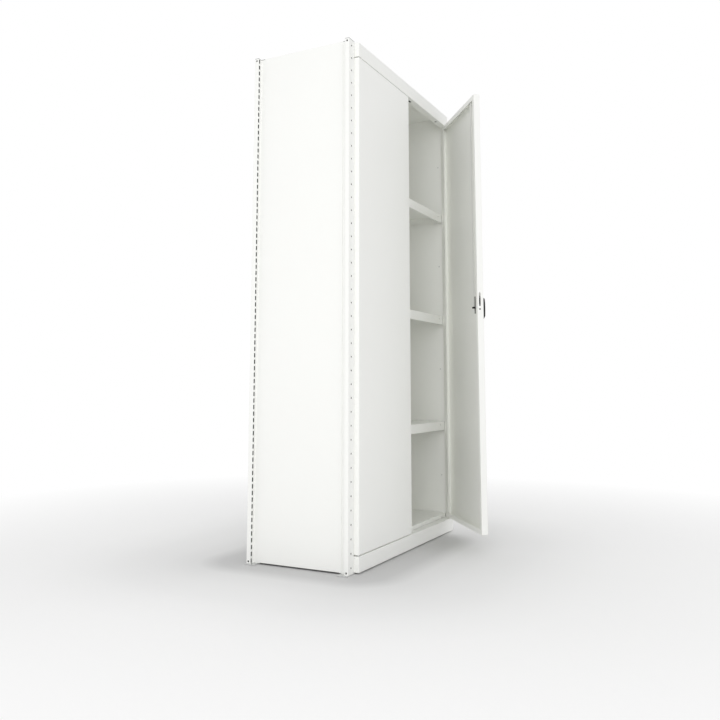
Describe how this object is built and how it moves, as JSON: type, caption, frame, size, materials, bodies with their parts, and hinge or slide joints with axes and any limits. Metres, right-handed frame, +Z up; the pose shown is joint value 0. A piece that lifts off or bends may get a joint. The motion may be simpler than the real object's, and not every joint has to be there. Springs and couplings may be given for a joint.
{
  "type": "storage cupboard",
  "caption": "Tall white steel storage cupboard on slotted T-section posts, with clip-hung shelves, pan-shaped hinged doors and a turning handle that works a latch bolt and a lock bar.",
  "frame": {"origin": "on the floor, at the middle of the footprint that the bay and the open right door take together", "axes": "+X across the front to the right, +Y from the front to the back, +Z up"},
  "size_m": [1.064, 0.7458, 2.0023],
  "materials": {
    "white_enamel": "smooth satin powder coat",
    "zinc": "zinc plated",
    "grey_plastic": "moulded, fine grain",
    "black_plastic": "moulded, fine grain",
    "bright_steel": "bright nickel plated"
  },
  "bodies": {
    "carcass": {"post_front_left": "white_enamel", "post_front_right": "white_enamel", "post_rear_left": "white_enamel", "post_rear_right": "white_enamel", "foot_plate_front_left": "zinc", "foot_plate_front_right": "zinc", "foot_plate_rear_left": "zinc", "foot_plate_rear_right": "zinc", "post_cap_front_left": "grey_plastic", "post_cap_front_right": "grey_plastic", "post_cap_rear_left": "grey_plastic", "post_cap_rear_right": "grey_plastic", "side_panel_left": "white_enamel", "side_panel_right": "white_enamel", "back_panel": "white_enamel", "top_rail": "white_enamel", "plinth": "white_enamel", "shelf_floor": "white_enamel", "shelf_lower": "white_enamel", "shelf_middle": "white_enamel", "shelf_upper": "white_enamel", "shelf_top": "white_enamel", "clip_floor_front_left": "zinc", "clip_floor_front_right": "zinc", "clip_floor_rear_left": "zinc", "clip_floor_rear_right": "zinc", "clip_lower_front_left": "zinc", "clip_lower_front_right": "zinc", "clip_lower_rear_left": "zinc", "clip_lower_rear_right": "zinc", "clip_middle_front_left": "zinc", "clip_middle_front_right": "zinc", "clip_middle_rear_left": "zinc", "clip_middle_rear_right": "zinc", "clip_upper_front_left": "zinc", "clip_upper_front_right": "zinc", "clip_upper_rear_left": "zinc", "clip_upper_rear_right": "zinc", "clip_top_front_left": "zinc", "clip_top_front_right": "zinc", "clip_top_rear_left": "zinc", "clip_top_rear_right": "zinc", "hinge_pin_left_bottom": "bright_steel", "hinge_pin_left_top": "bright_steel", "hinge_pin_right_bottom": "bright_steel", "hinge_pin_right_top": "bright_steel"},
    "left_door": {"door_left": "white_enamel", "hinge_bush_left_bottom": "grey_plastic", "hinge_bush_left_top": "grey_plastic"},
    "right_door": {"door_right": "white_enamel", "hinge_bush_right_bottom": "grey_plastic", "hinge_bush_right_top": "grey_plastic", "handle_rose": "black_plastic", "lock_case": "zinc", "lock_bar_guide": "grey_plastic"},
    "handle": {"door_handle": "black_plastic", "handle_spindle": "black_plastic"},
    "key_cylinder": {"lock_plug": "bright_steel"},
    "bolt": {"latch_bolt": "bright_steel"},
    "bar": {"lock_bar": "bright_steel"}
  },
  "joints": [
    {"name": "left_door_hinge", "type": "hinge", "parent": "carcass", "child": "left_door", "pos_m": [-0.4646, -0.07395, 1], "axis": [0, 0, -1], "range_deg": [0, 110]},
    {"name": "right_door_hinge", "type": "hinge", "parent": "carcass", "child": "right_door", "pos_m": [0.4646, -0.07395, 1], "axis": [0, 0, 1], "range_deg": [-38.95, 71.05]},
    {"name": "handle_turn", "type": "hinge", "parent": "right_door", "child": "handle", "pos_m": [0.1412, -0.34771, 1], "axis": [0.6286, -0.7777, 0], "range_deg": [0, 90]},
    {"name": "key_turn", "type": "hinge", "parent": "handle", "child": "key_cylinder", "pos_m": [0.1412, -0.34771, 1], "axis": [0.6286, -0.7777, 0], "range_deg": [0, 90]},
    {"name": "bolt_throw", "type": "slide", "parent": "right_door", "child": "bolt", "axis": [-0.7777, -0.6286, 0], "range_m": [0, 0.012]},
    {"name": "bar_lift", "type": "slide", "parent": "right_door", "child": "bar", "axis": [0, 0, 1], "range_m": [0, 0.014]}
  ],
  "couplings": [
    {"joint": "handle_turn", "follows": "bar_lift", "rad_per_m": 112.19},
    {"joint": "bolt_throw", "follows": "bar_lift", "ratio": 0.857}
  ]
}
